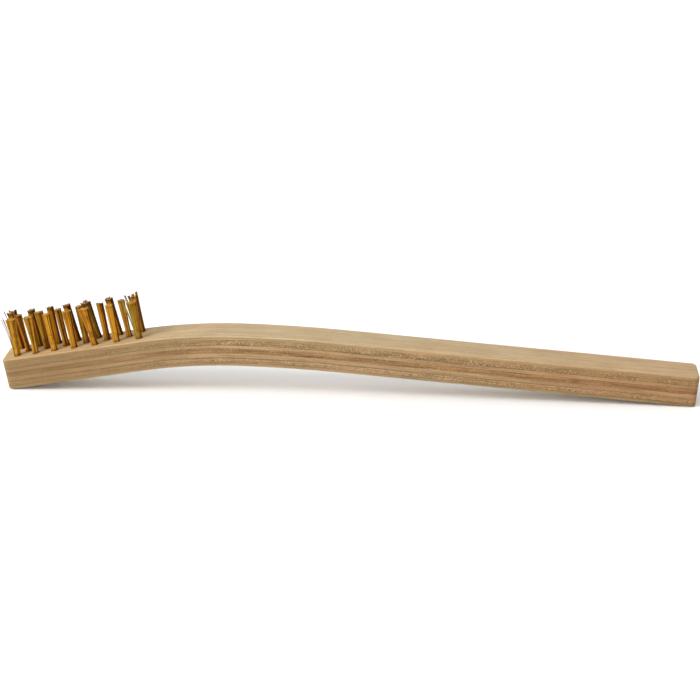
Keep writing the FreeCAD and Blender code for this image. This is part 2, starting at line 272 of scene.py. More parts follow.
def strip_coordinates():
    """A node group that gives, in mm, how far along, across and up the strip a point is."""
    group = bpy.data.node_groups.new("strip_coordinates", "ShaderNodeTree")
    for name in ("Along", "Across", "Height"):
        group.interface.new_socket(name, in_out="OUTPUT", socket_type="NodeSocketFloat")
    sheet = Sheet(group)
    to_head = sheet.node("Mapping", vector_type="TEXTURE")
    sheet.plug(to_head.inputs["Vector"], sheet.object_point())
    sheet.plug(to_head.inputs["Location"], HEAD.translation)
    sheet.plug(to_head.inputs["Rotation"], HEAD.to_euler())
    sheet.plug(to_head.inputs["Scale"], (MM, MM, MM))
    u, y, v = sheet.split(Signal(sheet, to_head.outputs[0]))

    def seen_from(centre):
        """A point's place relative to a bend's centre, in mm."""
        return u - centre.x / MM, v - centre.z / MM

    def turned(centre):
        return sheet.math("ARCTAN2", *seen_from(centre))

    def reach(centre, turn):
        """How far a point is from a bend's centre, measured square to the strip."""
        right, up = seen_from(centre)
        return right * sheet.math("SINE", turn) + up * sheet.math("COSINE", turn)

    bend = sheet.clamp(turned(BEND_CENTRE), 0.0, BEND_ANGLE)
    ease = sheet.clamp(turned(EASE_CENTRE) - BEND_ANGLE, 0.0, EASE_ANGLE)
    past_tail_start, up_from_it = seen_from(tail_start(0))
    tail = past_tail_start * along(FULL_TURN).x + up_from_it * along(FULL_TURN).z
    distance = (sheet.math("MINIMUM", u, HEAD_LENGTH / MM)
                + bend * (BEND_RADIUS / MM)
                + ease * (EASE_RADIUS / MM)
                + sheet.math("MAXIMUM", tail, 0.0))
    past_bend = sheet.math("GREATER_THAN", ease, 0.0)
    from_bend = reach(BEND_CENTRE, bend) - BEND_RADIUS / MM
    from_ease = reach(EASE_CENTRE, ease + BEND_ANGLE) - EASE_RADIUS / MM
    height = from_bend + past_bend * (from_ease - from_bend)

    result = sheet.tree.nodes.new("NodeGroupOutput")
    for name, signal in (("Along", distance), ("Across", y), ("Height", height)):
        sheet.plug(result.inputs[name], signal)
    return group


STRIP = strip_coordinates()


def strip_place(sheet):
    """Along, across and height in mm, for a wood material."""
    made = sheet.node("Group", node_tree=STRIP)
    return [Signal(sheet, socket) for socket in made.outputs]


def strip_noise(sheet, place, seed, along=0.0, across=0.0, up=0.0, drift=0.0, start=0.0, **look):
    """Noise with so many features a mm along, across and up the strip.

    Its seed moves it up the strip, a start moves it along and a drift moves it across.
    """
    distance, beside, height = place
    return sheet.noise(sheet.point(
        distance * along + start, beside * across + drift, height * up + seed), **look)


def edge_noise(sheet, position, height, seed, along, up, detail):
    """Noise on a sawn edge, with so many features a mm along it and up it."""
    return sheet.noise(sheet.point(position * along, height * up, seed), detail=detail)


# ---------------------------------------------------------------- plywood

# Pale and dark tones of the veneers' sawn edges
LONG_WOOD = tone(168, 140, 101), tone(130, 102, 66)
UPPER_CROSS_WOOD = tone(160, 131, 91), tone(120, 95, 61)
MIDDLE_CROSS_WOOD = tone(155, 118, 77), tone(107, 77, 45)
LOWER_CROSS_WOOD = tone(168, 136, 98), tone(129, 101, 67)
# The underside veneer's edge: its own olive tan, made darker still as painted shade along the
# strip's lower edge
SHADED_UNDERSIDE_WOOD = tone(148, 127, 88), tone(112, 92, 58)
TOP_WOOD = tone(165, 138, 98), tone(128, 101, 66)

# Pale and dark tones of the two outer faces
TOP_FACE = tone(188, 167, 131), tone(164, 140, 101)
# The underside face: made darker as painted shade, on the strip's underside and its rounded lower
# edges
SHADED_UNDER_FACE = tone(170, 148, 110), tone(144, 120, 82)

# What marks the wood
WARM_STREAK = tone(196, 140, 98)
PORE = tone(112, 84, 54)
END_CHECK = tone(104, 76, 48)
PEELING_CRACK = tone(80, 56, 30)
TORN_FIBRE = tone(198, 172, 132)
GRIT = tone(112, 82, 52)
GLUE = tone(86, 62, 34)
# Painted shade, mixed into the head's sawn edges
HEAD_SHADE_TONE = tone(156, 129, 92)

# Filters for the wood: yellowed with age towards the tail, painted shade that darkens and browns
# the head's sawn edges, painted light on the face among the tufts, and painted shade at that face's
# long edges
YELLOWED = (0.95, 0.85, 0.77, 1.0)
HEAD_SHADE_FILTER = (0.81, 0.77, 0.67, 1.0)
PAINTED_LIGHT_AMONG_TUFTS = (1.08, 0.99, 0.84, 1.0)
PAINTED_EDGE_SHADE = (0.82, 0.80, 0.77, 1.0)

# Where along the strip, in mm from the head's free end, the wood changes, and where the painted
# shade and painted light at the head fade out
HEAD_FADES = (15.0, 70.0)
YELLOWING = (90.0, 205.0)
END_GRAIN_OPENS = (22.0, 60.0)

# How far in from an outer face, in mm, its look gives way to the sawn edge's
FACE_ENDS = (0.2, 0.65)

# Where the painted shade on the head's face starts, in mm from its middle line
EDGE_SHADE_STARTS = (3.9, 5.3)

# How dark the glue is between each veneer and the next one up. A line of it is as wide as
# the thinnest and a changing part of the spread, in mm
GLUE_DARKNESS = (0.5, 1.25, 0.5, 0.5, 0.95, 0.2)
GLUE_THINNEST = 0.02
GLUE_SPREAD = 0.2
GLUE_SHARE = 0.75

# The peeling checks: how many there are to a mm, how much they slant and how much they bend
CHECKS_PER_MM = 0.9
CHECK_SLANT = 0.8
CHECK_WOBBLE = 1.5

# How many features a mm the cross veneers' pattern has along their fibres
ALONG_FIBRE = 0.06


def veneer_span(veneer):
    """The heights of a veneer's underside and top, in mm above the strip's underside."""
    names = list(VENEERS)
    bottom = sum(VENEERS[name] for name in names[:names.index(veneer)]) / MM
    return bottom, bottom + VENEERS[veneer] / MM


def glue_line(sheet, veneer, place, seed):
    """How dark the glue is at a veneer's two faces: 1 on a full line, 0 away from it."""
    height = place[2]
    index = list(VENEERS).index(veneer)
    bottom, top = veneer_span(veneer)
    wander = strip_noise(sheet, place, seed, along=0.5, across=0.5)
    gaps = strip_noise(sheet, place, seed + 5.0, along=0.22, across=0.5)
    width = GLUE_THINNEST + wander * GLUE_SPREAD
    line = None
    for boundary, away in ((index - 1, height - bottom), (index, top - height)):
        if 0 <= boundary < len(GLUE_DARKNESS):
            near = (1.0 - sheet.step(away / width, 0.5, 1.0)) * GLUE_DARKNESS[boundary]
            line = near if line is None else line + near
    return line * (0.35 + sheet.step(gaps, 0.32, 0.55) * 0.65)


def peeling_checks(sheet, position, height, seed, slant=CHECK_SLANT):
    """The fine slanted cracks that peeling leaves in a veneer, seen across its fibres."""
    wobble = edge_noise(sheet, position, height, seed, along=1.1, up=2.2, detail=2.0)
    presence = edge_noise(sheet, position, height, seed + 3.0, along=1.1, up=1.7, detail=2.0)
    depth = edge_noise(sheet, position, height, seed + 7.0, along=0.3, up=0.5, detail=1.0)
    slanted = position * CHECKS_PER_MM + height * slant + wobble * CHECK_WOBBLE
    on_crack = 1.0 - sheet.step(sheet.cells(slanted, seed), 0.02, 0.15)
    return on_crack * sheet.step(presence, 0.41, 0.55) * (0.4 + depth)


def face_share(sheet, veneer, height):
    """1 on an outer veneer's face and 0 on its sawn edge, with a soft change between."""
    outer_height = THICKNESS / MM if veneer == "ply_7_top" else 0.0
    return 1.0 - sheet.step(sheet.size_of(height - outer_height), *FACE_ENDS)


def at_head(sheet, distance):
    """1 at the head's free end, falling softly to 0 past the tufts."""
    return 1.0 - sheet.step(distance, *HEAD_FADES)


def aged_and_head_shaded(sheet, colour, distance, sawn=1.0):
    """Wood that has yellowed towards the tail, with painted shade, darker and browner, on the
    head's sawn edges.
    """
    head_shade = at_head(sheet, distance) * sawn
    colour = sheet.tint(sheet.step(distance, *YELLOWING), colour, YELLOWED)
    # Painted shade on the head's sawn edges: a darker tone mixed in, then a darker, browner filter
    colour = sheet.mix(head_shade * 0.35, colour, HEAD_SHADE_TONE)
    return sheet.tint(head_shade, colour, HEAD_SHADE_FILTER)


def painted_light_among_tufts(sheet, colour, distance, across, on_face):
    """The face among the tufts: painted light, warmer and brighter, and painted shade at its long
    edges.
    """
    share = at_head(sheet, distance) * on_face
    edge = sheet.step(sheet.size_of(across), *EDGE_SHADE_STARTS)
    # Painted light on the face among the tufts, lifting their cast shadows
    colour = sheet.tint(share, colour, PAINTED_LIGHT_AMONG_TUFTS)
    # Painted shade near the face's long edges, damping the light on their rounding
    return sheet.tint(share * edge, colour, PAINTED_EDGE_SHADE)


def glued(sheet, colour, line):
    return sheet.mix(sheet.clamp(line, 0.0, 1.0) * GLUE_SHARE, colour, GLUE)


def long_grain(name, veneer, wood, seed, streaks=1.0, face=None):
    """Veneer whose fibres run along the strip: long fine streaks on every long face."""
    material, sheet = new_material(name)
    place = strip_place(sheet)
    distance, across, height = place
    drift = strip_noise(sheet, place, seed, along=0.03, across=0.1, detail=1.0) * 0.8
    bands = strip_noise(
        sheet, place, seed, along=0.016, across=0.42, up=0.9, drift=drift, detail=2.0)
    streak = strip_noise(
        sheet, place, seed, along=0.05, across=1.5, up=2.4, drift=drift, detail=2.0, roughness=0.6)
    fibres = strip_noise(
        sheet, place, seed, along=0.16, across=4.2, up=6.0, drift=drift, roughness=0.6)
    clouds = strip_noise(
        sheet, place, 0.0, along=0.09, across=0.12, up=0.4, start=seed, detail=2.0)
    speckle = strip_noise(
        sheet, place, seed, along=1.5, across=2.0, up=5.0, detail=2.0, roughness=0.7)
    pores = strip_noise(sheet, place, seed, along=0.6, across=9.0, up=9.0, detail=1.0)
    warmth = strip_noise(sheet, place, seed * 2, along=0.022, across=0.5, up=0.8, detail=1.0)
    pore = sheet.step(pores, 0.60, 0.70)
    end_checks = peeling_checks(sheet, across, height, seed + 1.0)
    on_face = face_share(sheet, veneer, height) if face else 0.0
    sawn = 1.0 - on_face
    shade = weighted((bands, 0.8), (streak, 1.9), (fibres, 1.6), (clouds, 0.9))
    shade = shade + weighted((speckle, 2.1)) * sawn
    darkness = sheet.clamp(0.45 + shade * streaks, 0.0, 1.0)
    colour = sheet.mix(darkness, *wood)
    if face:
        colour = sheet.mix(on_face, colour, sheet.mix(darkness, *face))
    colour = sheet.mix(sheet.step(warmth, 0.5, 0.75) * 0.26, colour, WARM_STREAK)
    colour = sheet.mix(pore * 0.34, colour, PORE)
    colour = sheet.mix(end_checks * sawn * 0.12, colour, END_CHECK)
    colour = aged_and_head_shaded(sheet, colour, distance, sawn)
    if veneer == "ply_7_top":
        colour = painted_light_among_tufts(sheet, colour, distance, across, on_face)
    line = glue_line(sheet, veneer, place, seed)
    relief = fibres * 0.7 + streak * 0.4 - pore * 0.5 - line * 0.4
    sheet.surface({
        "Base Color": glued(sheet, colour, line),
        "Roughness": 0.62 + fibres * 0.16,
        "Specular IOR Level": 0.35,
        "Normal": sheet.bump(relief, 0.05 * MM)})
    return material


def cross_grain(name, veneer, wood, seed, checks=1.0, rings=1.0):
    """Veneer whose fibres run across the strip: sawn end grain on the long sides."""
    material, sheet = new_material(name)
    place = strip_place(sheet)
    distance, across, height = place
    clouds = strip_noise(sheet, place, seed, along=0.12, across=ALONG_FIBRE, up=0.8, detail=2.0)
    ring = strip_noise(sheet, place, seed, along=0.10, across=ALONG_FIBRE, up=3.2, roughness=0.6)
    fine = strip_noise(
        sheet, place, seed, along=3.6, across=ALONG_FIBRE, up=5.0, detail=2.0, roughness=0.7)
    flecks = strip_noise(sheet, place, seed * 2, along=1.5, across=ALONG_FIBRE, up=3.4, detail=1.0)
    torn = strip_noise(sheet, place, seed + 9.0, along=0.16, detail=2.0)
    turns = strip_noise(sheet, place, seed + 17.0, along=0.17, detail=2.0)
    open_grain = 0.4 + sheet.step(distance, *END_GRAIN_OPENS) * 0.6
    amount = open_grain * checks * (0.4 + sheet.step(torn, 0.36, 0.6) * 0.6)

    # The cracks lean one way for a stretch and then the other, and are deepest in the
    # veneer's lower part, which was its inner side as it was peeled
    bottom, top = veneer_span(veneer)
    loose_side = 1.0 - sheet.step(height, bottom * 0.65 + top * 0.35, bottom * 0.15 + top * 0.85)
    position = distance + across * ALONG_FIBRE
    leans_left = sheet.step(turns, 0.47, 0.55)
    left = peeling_checks(sheet, position, height, seed)
    right = peeling_checks(sheet, position, height, seed + 40.0, slant=-CHECK_SLANT)
    leaning = left * leans_left + right * (1.0 - leans_left)
    crack = sheet.clamp(leaning * amount * (0.25 + loose_side * 1.1), 0.0, 1.0)

    shade = weighted((clouds, 1.2), (ring, 2.2 * rings), (fine, 1.4))
    colour = sheet.mix(sheet.clamp(0.5 + shade, 0.0, 1.0), *wood)
    colour = sheet.mix(sheet.step(flecks, 0.55, 0.68) * amount * 0.5, colour, TORN_FIBRE)
    colour = sheet.mix(sheet.step(fine, 0.56, 0.70) * amount * 0.4, colour, GRIT)
    colour = sheet.mix(crack * 0.9, colour, PEELING_CRACK)
    colour = aged_and_head_shaded(sheet, colour, distance)
    line = glue_line(sheet, veneer, place, seed)
    relief = ring * 0.5 + fine * 0.6 - crack * 1.2 - line * 0.4
    sheet.surface({
        "Base Color": glued(sheet, colour, line),
        "Roughness": 0.70 + fine * 0.18,
        "Specular IOR Level": 0.3,
        "Normal": sheet.bump(relief, 0.07 * MM)})
    return material


def wood_materials():
    """One material for each veneer, so that no two share a pattern."""
    return {
        "ply_1_underside": long_grain(
            "underside_veneer", "ply_1_underside", SHADED_UNDERSIDE_WOOD, seed=3.1, face=SHADED_UNDER_FACE),
        "ply_2_cross_grain": cross_grain(
            "lower_cross_veneer", "ply_2_cross_grain", LOWER_CROSS_WOOD, seed=14.7, checks=0.95),
        "ply_3_long_grain": long_grain(
            "lower_long_veneer", "ply_3_long_grain", LONG_WOOD, seed=27.9),
        "ply_4_cross_grain": cross_grain(
            "middle_cross_veneer", "ply_4_cross_grain", MIDDLE_CROSS_WOOD, seed=38.2,
            checks=0.45, rings=1.5),
        "ply_5_long_grain": long_grain(
            "upper_long_veneer", "ply_5_long_grain", LONG_WOOD, seed=51.6),
        "ply_6_cross_grain": cross_grain(
            "upper_cross_veneer", "ply_6_cross_grain", UPPER_CROSS_WOOD, seed=63.3),
        "ply_7_top": long_grain(
            "top_veneer", "ply_7_top", TOP_WOOD, seed=75.8, streaks=0.9, face=TOP_FACE),
    }


def finish_node(node, material):
    """Gives a CAD node its material, and leaves its shape alone."""
    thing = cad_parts[node]
    thing.data.materials.clear()
    thing.data.materials.append(material)


# ---------------------------------------------------------------- wire tufts

# A tuft's folded wires, and how far from its hole's middle the outermost one comes out
WIRE_RADIUS = 0.09 * MM
FOLDED_WIRES = 47
MOUTH_RADIUS = 0.95 * MM

# The random seed of the first tuft. Each of the others has the next one up
FIRST_TUFT_SEED = 100

# How finely a wire is made: the sides of its tube, and the steps up a leg and round a fold
TUBE_SIDES = 6
LEG_STEPS = 12
FOLD_STEPS = 6

# The bevel at a wire's cut end: how long it is, and how wide as a share of the wire
CUT_BEVEL = 0.02 * MM
CUT_WIDTH = 0.75

# Spots spread like a sunflower's seeds, and how far each is out of place at the most. A
# spot is a wire's place in its tuft, as shares of the tuft's radius along and across
GOLDEN_ANGLE = math.pi * (3 - math.sqrt(5))
SPOT_JITTER = 0.03

# The wires' tips fall into clumps. In a ragged tuft the clumps are tighter, their heights
# are more uneven and they lean further out
CLUMPS = 7
TIDY_GATHER = 0.15
RAGGED_GATHER = 0.4
TIDY_RISE = 0.05 * MM
RAGGED_RISE = 0.45 * MM
RAGGED_SPLAY = 0.4

# The wires of a strand have tarnished alike. Some of the strands are red, by the first
# share, and some are olive, by the second one and as strongly as the last number says
STRANDS = 24
RED_STRANDS = 0.2
OLIVE_STRANDS = 0.1
STRAND_OLIVE = 0.45

# How unevenly the tips are trimmed, and how far the middle of a tip that is burnt dark
# lies below its rim
TRIM_SPREAD = 0.06 * MM
CUP_DEPTH = 0.35 * MM

# How far out of the tuft a loose wire leans, as a share of the tuft's radius, and how
# much longer it is than the others
LOOSE_SPLAY = (0.25, 0.75)
LOOSE_RISE = (-0.2 * MM, 0.7 * MM)

# How far from straight a wire is, and how far round its ripple gets in its length
RIPPLE = (0.01 * MM, 0.04 * MM)
RIPPLE_TURN = 5.5

# Wires fan out towards the head's free end from this spot along the head
FAN_FROM = 0.3

# A wire's steps lie closer together near its hole, and its clump's pull, its splay and its
# fan set in towards its tip, each by such a power of the way up
STEP_CURVE = 1.5
GATHER_CURVE = 1.5
SPLAY_CURVE = 1.2
FAN_CURVE = 1.7

# How close the wires lie along the head at the anchor, compared with the hole's mouth, the
# least room across it there, as the square of a share of the mouth's radius, and how much
# of the space between the anchor and the hole's bottom the folds keep clear
ANCHOR_CROWDING = 0.9
LEAST_ROOM = 0.05
FOLD_CLEARANCE = 2.5 * WIRE_RADIUS

# How pale a wire is, from 0 to 1: the usual, how much less of it towards its tuft's tail side
# and again past a shoulder there, which is painted shade on the side away from the key light,
# how much strands and single wires differ, and the least of any wire but a loose one
USUAL_PALE = 0.66
TAIL_SIDE_SHADE = 0.3
SHOULDER_SHADE = 0.6
SHOULDER = 0.35
STRAND_CONTRAST = 0.9
WIRE_CONTRAST = 0.4
LEAST_PALE = 0.05

# Wires are olive on their tuft's head side: how much in its middle, and how fast it changes
MIDDLE_OLIVE = 0.35
OLIVE_SLOPE = 1.3

# How red the wires of a red strand are, and how much of that the darkest one shows
REDNESS = (0.6, 1.0)
RED_ON_DARK = 0.3

# How much a tuft's head side is favoured for loose wires, beside its rim
LOOSE_SIDE = 0.3

# How far below a tuft's top its tip's middle and radius are measured
TIP_BAND = 0.5 * MM

# A tip of this radius is closed. A wider one has fallen open, and has loose wires: this
# many of them if it were twice as wide
CLOSED_TIP = 1.28 * MM
LOOSE_WIRES = 36

# What sets some tufts apart: how green the wires on their head side have gone, how far
# those wires fan out, how much more the tip leans to the tail, how ragged it is, how
# much narrower the shaft is low down, how brown the tuft is, and how many of the usual
# loose wires and how much of the usual red it has
HABITS = {
    "tuft_front_1": {"olive": 0.5, "fan": 0.6 * MM, "lean": 0.35 * MM, "ragged": 0.08},
    "tuft_front_2": {"olive": 0.6, "fan": 0.6 * MM, "lean": 0.4 * MM, "waist": 0.3 * MM},
    "tuft_front_4": {"olive": 0.4, "fan": 0.3 * MM},
    "tuft_front_5": {"fan": 0.8 * MM},
    "tuft_front_7": {"olive": 0.95, "fan": 0.9 * MM},
    "tuft_middle_1": {"waist": 0.3 * MM},
    "tuft_middle_2": {"brown": 0.4, "fan": 0.6 * MM},
    "tuft_middle_3": {"brown": 0.15},
    "tuft_middle_4": {"brown": 0.3, "olive": 0.6},
    "tuft_middle_5": {"brown": 0.1, "ragged": 0.15},
    "tuft_middle_6": {"waist": 0.26 * MM},
    "tuft_back_1": {"fan": 0.3 * MM, "ragged": 0.7},
    "tuft_back_2": {"brown": 0.4},
    "tuft_back_3": {"brown": 0.25},
    "tuft_back_4": {"brown": 0.25},
    "tuft_back_5": {"fan": 0.4 * MM, "ragged": 0.3, "brown": 0.2, "loose": 0.0},
    "tuft_back_7": {"olive": 0.6, "fan": 0.4 * MM, "ragged": 1.0, "red": 0.3},
}
USUAL_HABIT = {
    "olive": 0.3, "fan": 0.0, "lean": 0.0, "ragged": 0.0,
    "waist": 0.12 * MM, "brown": 0.0, "loose": 1.0, "red": 1.0}

# How dark the trimming left the wires' tips in each row, from 0 to 1
BURNT_TIPS = {"front": 0.35, "middle": 0.65, "back": 0.95}


def in_head_frame(thing):
    """A CAD node's vertices, in the head's frame."""
    back = HEAD.inverted()
    return np.array([back @ vertex.co for vertex in thing.data.vertices])


def tuft_facts(tuft, anchor):
    """Where the CAD model has a tuft: its hole, its anchor and its tip, in the head's frame."""
    blade = in_head_frame(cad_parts[anchor])
    bundle = in_head_frame(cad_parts[tuft])
    low, high = blade.min(0), blade.max(0)
    centre = (low + high) / 2
    top = bundle[:, 2].max()
    near_top = bundle[bundle[:, 2] > top - TIP_BAND]
    tip = (near_top.min(0) + near_top.max(0)) / 2
    tip_radius = (near_top[:, 1].max() - near_top[:, 1].min()) / 2
    return {
        "hole": centre[:2],
        "lean": tip[0] - centre[0],
        "tip_radius": tip_radius,
        "looseness": max(tip_radius / CLOSED_TIP - 1, 0),
        "trim": top - THICKNESS,
        "anchor_half": (high[1] - low[1]) / 2,
        "anchor_low": low[2] - THICKNESS,
        "anchor_high": high[2] - THICKNESS,
        "hole_bottom": bundle[:, 2].min() - THICKNESS,
    }


def packed_disc(count, chance):
    """Evenly spread points in a circle of radius 1, a little out of step."""
    points = []
    for index in range(count):
        reach = math.sqrt((index + 0.5) / count)
        angle = index * GOLDEN_ANGLE
        points.append(np.array([
            reach * math.cos(angle) + chance.uniform(-SPOT_JITTER, SPOT_JITTER),
            reach * math.sin(angle) + chance.uniform(-SPOT_JITTER, SPOT_JITTER)]))
    return points


def tip_clumps(ragged, chance):
    """The small bunches that a tuft's wires fall into towards their tips."""
    clumps = []
    for spot in packed_disc(CLUMPS, chance):
        clumps.append({
            "spot": spot,
            "gather": TIDY_GATHER + RAGGED_GATHER * ragged,
            "rise": chance.gauss(0, TIDY_RISE + RAGGED_RISE * ragged),
            "splay": chance.uniform(0, RAGGED_SPLAY) * ragged})
    return clumps


def tinted_strands(chance):
    """Strands of a few wires each: how pale each is, and whether it is red or olive."""
    strands = []
    for spot in packed_disc(STRANDS, chance):
        strands.append({
            "spot": spot,
            "tone": chance.uniform(-0.5, 0.5),
            "red": 1.0 if chance.random() < RED_STRANDS else 0.0,
            "olive": STRAND_OLIVE if chance.random() < OLIVE_STRANDS else 0.0})
    return strands


def nearest(spot, groups):
    return min(groups, key=lambda group: np.hypot(*(group["spot"] - spot)))


def leg_line(spot, facts, habit, clump, burnt, is_loose, chance):
    """One leg of a folded wire, from its trimmed end down to the anchor, as points."""
    tip_spot = spot * (1 - clump["gather"]) + clump["spot"] * clump["gather"]
    splay = clump["splay"]
    cup = (np.hypot(*spot) ** 2 - 0.5) * CUP_DEPTH * burnt
    trimmed = facts["trim"] + clump["rise"] + cup + chance.gauss(0, TRIM_SPREAD)
    if is_loose:
        splay += chance.uniform(*LOOSE_SPLAY)
        trimmed += chance.uniform(*LOOSE_RISE)
    fan = habit["fan"] * max(FAN_FROM - spot[0], 0) / (FAN_FROM + 1)
    lean = facts["lean"] + habit["lean"]
    tip_radius = facts["tip_radius"] - WIRE_RADIUS
    ripple = chance.uniform(*RIPPLE)
    phase = chance.uniform(0, 2 * math.pi)
    heading = chance.uniform(0, 2 * math.pi)
    points = []
    for step in range(LEG_STEPS + 1):
        share = (1 - step / LEG_STEPS) ** STEP_CURVE
        opening = MOUTH_RADIUS + (tip_radius - MOUTH_RADIUS) * share
        opening -= habit["waist"] * math.sin(math.pi * math.sqrt(share))
        opening *= 1 + splay * share ** SPLAY_CURVE
        here = (spot + (tip_spot - spot) * share ** GATHER_CURVE) * opening
        aside = ripple * math.sin(phase + RIPPLE_TURN * share) * share
        points.append((
            here[0] + lean * share - fan * share ** FAN_CURVE + aside * math.cos(heading),
            here[1] + aside * math.sin(heading),
            trimmed * share))
    side = math.copysign(1, spot[1])
    inner = facts["anchor_half"] + WIRE_RADIUS
    room = math.sqrt(max(1 - spot[0] ** 2, LEAST_ROOM)) * MOUTH_RADIUS
    packed = inner + abs(spot[1]) * max(room - inner, 0)
    column = spot[0] * MOUTH_RADIUS * ANCHOR_CROWDING
    for height in (facts["anchor_high"], facts["anchor_low"]):
        points.append((column, side * packed, height))
    return points


def fold_line(upper, lower, facts):
    """The wire's turn under the anchor, between the ends of its two legs."""
    half = (upper[1] - lower[1]) / 2
    middle = (upper[1] + lower[1]) / 2
    inner = facts["anchor_half"] + WIRE_RADIUS
    room = facts["anchor_low"] - facts["hole_bottom"] - FOLD_CLEARANCE
    depth = WIRE_RADIUS + room * min((half - inner) / (MOUTH_RADIUS - inner), 1.0)
    points = []
    for step in range(1, FOLD_STEPS):
        share = step / FOLD_STEPS
        angle = math.pi * share
        points.append((
            upper[0] + (lower[0] - upper[0]) * share,
            middle + half * math.cos(angle),
            facts["anchor_low"] - depth * math.sin(angle)))
    return points


def wire_tube(points):
    """A tube's rings along a line of points, with a small bevel at each cut end."""
    line = np.array(points)
    forward = np.gradient(line, axis=0)
    forward /= np.linalg.norm(forward, axis=1)[:, None]
    side = np.array([1.0, 0.0, 0.0]) - forward * forward[:, :1]
    side /= np.linalg.norm(side, axis=1)[:, None]
    front = np.cross(forward, side)
    rings = []
    for corner in range(TUBE_SIDES):
        angle = 2 * math.pi * corner / TUBE_SIDES
        rings.append(line + WIRE_RADIUS * (math.cos(angle) * side + math.sin(angle) * front))
    tube = np.stack(rings, axis=1)
    first = line[0] + (tube[0] - line[0]) * CUT_WIDTH - forward[0] * CUT_BEVEL
    last = line[-1] + (tube[-1] - line[-1]) * CUT_WIDTH + forward[-1] * CUT_BEVEL
    return np.concatenate([first[None], tube, last[None]])


def wire_look(spot, habit, strand, burnt, is_loose, chance):
    """One leg of a wire: how pale, red and green it is, how near the rim, how burnt its tip."""
    # Painted shade: the wires on the tuft's tail side, away from the key light, are made darker
    painted_side_shade = TAIL_SIDE_SHADE * spot[0] + SHOULDER_SHADE * max(spot[0] - SHOULDER, 0)
    pale = (USUAL_PALE - painted_side_shade - habit["brown"]
            + STRAND_CONTRAST * strand["tone"] + WIRE_CONTRAST * (chance.random() - 0.5))
    pale = 0.0 if is_loose else min(max(pale, LEAST_PALE), 1)
    red = strand["red"] * habit["red"] * chance.uniform(*REDNESS)
    head_side = min(max(MIDDLE_OLIVE - OLIVE_SLOPE * spot[0], 0), 1)
    return {
        "wire_pale": pale,
        "wire_red": red * (RED_ON_DARK + (1 - RED_ON_DARK) * pale),
        "wire_olive": max(habit["olive"] * head_side, strand["olive"]),
        "wire_rim": min(np.hypot(*spot), 1),
        "wire_burnt": burnt}


class WireMesh:
    """The mesh of one tuft, wire by wire, with what the brass needs to know of each."""

    def __init__(self, mouth):
        self.mouth = mouth
        self.vertices = []
        self.faces = []
        self.facts = {"wire_pale": [], "wire_red": [], "wire_olive": [], "wire_rim": [],
                      "wire_burnt": [], "wire_height": [], "wire_cut": []}

    def add_ring(self, ring, look, trim, cut):
        for corner in ring:
            self.vertices.append(tuple(HEAD @ (self.mouth + Vector(corner))))
            for fact, value in look.items():
                self.facts[fact].append(value)
            self.facts["wire_height"].append(corner[2] / trim)
            self.facts["wire_cut"].append(cut)

    def add_wire(self, line, looks, trim):
        """A tube along the line, whose look is given for each of its points."""
        rings = wire_tube(line)
        start = len(self.vertices)
        last = len(rings) - 1
        looks = [looks[0]] + list(looks) + [looks[-1]]
        for number, ring in enumerate(rings):
            self.add_ring(ring, looks[number], trim, 1.0 if number in (0, last) else 0.0)
        for number in range(last):
            low = start + number * TUBE_SIDES
            high = low + TUBE_SIDES
            for corner in range(TUBE_SIDES):
                beside = (corner + 1) % TUBE_SIDES
                self.faces.append((low + corner, low + beside, high + beside, high + corner))
        corners = range(TUBE_SIDES)
        self.faces.append(tuple(start + corner for corner in reversed(corners)))
        self.faces.append(tuple(start + last * TUBE_SIDES + corner for corner in corners))

    def make(self, name, material):
        mesh = bpy.data.meshes.new(name)
        mesh.from_pydata(self.vertices, [], self.faces)
        mesh.shade_smooth()
        for fact, values in self.facts.items():
            mesh.attributes.new(fact, "FLOAT", "POINT").data.foreach_set("value", values)
        mesh.materials.append(material)
        piece = bpy.data.objects.new(name, mesh)
        bpy.context.scene.collection.objects.link(piece)
        return piece


def build_tuft(node, anchor, material, seed):
    """One tuft of folded wires, in place of its CAD node."""
    chance = random.Random(seed)
    facts = tuft_facts(node, anchor)
    habit = USUAL_HABIT | HABITS.get(node, {})
    burnt = BURNT_TIPS[node.split("_")[1]]
    clumps = tip_clumps(habit["ragged"], chance)
    strands = tinted_strands(chance)
    spots = packed_disc(2 * FOLDED_WIRES, chance)
    rim = sorted(spots, key=lambda spot: LOOSE_SIDE * spot[0] - np.hypot(*spot))
    loose_count = round(LOOSE_WIRES * facts["looseness"] * habit["loose"])
    loose = [tuple(spot) for spot in rim[:loose_count]]

    # Each wire goes under the anchor, so it has one leg on either side of it
    spots.sort(key=lambda spot: spot[1])
    lower = sorted(spots[:FOLDED_WIRES], key=lambda spot: spot[0])
    upper = sorted(spots[FOLDED_WIRES:], key=lambda spot: spot[0])
    wires = WireMesh(Vector((facts["hole"][0], facts["hole"][1], THICKNESS)))
    for ends in zip(upper, lower):
        legs, looks = [], []
        for spot in ends:
            clump, strand = nearest(spot, clumps), nearest(spot, strands)
            is_loose = tuple(spot) in loose
            legs.append(leg_line(spot, facts, habit, clump, burnt, is_loose, chance))
            looks.append(wire_look(spot, habit, strand, burnt, is_loose, chance))
        fold = fold_line(legs[0][-1], legs[1][-1], facts)
        line = legs[0] + fold + legs[1][::-1]
        half = len(legs[0]) + len(fold) // 2
        wires.add_wire(line, [looks[0]] * half + [looks[1]] * (len(line) - half), facts["trim"])
    piece = wires.make(node + "_wires", material)
    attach(piece, "root")
    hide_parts(node)
    return piece


# ---------------------------------------------------------------- metals

DARK_BRASS = tone(90, 38, 0)
PALE_BRASS = tone(228, 166, 50)
RED_BRASS = tone(212, 84, 20)
OLIVE_BRASS = tone(180, 160, 70)
TARNISH = tone(104, 58, 4)
ROOT_SHADE = tone(104, 46, 10)
BURNT_BRASS = tone(58, 30, 4)
CUT_BRASS = tone(232, 196, 132)

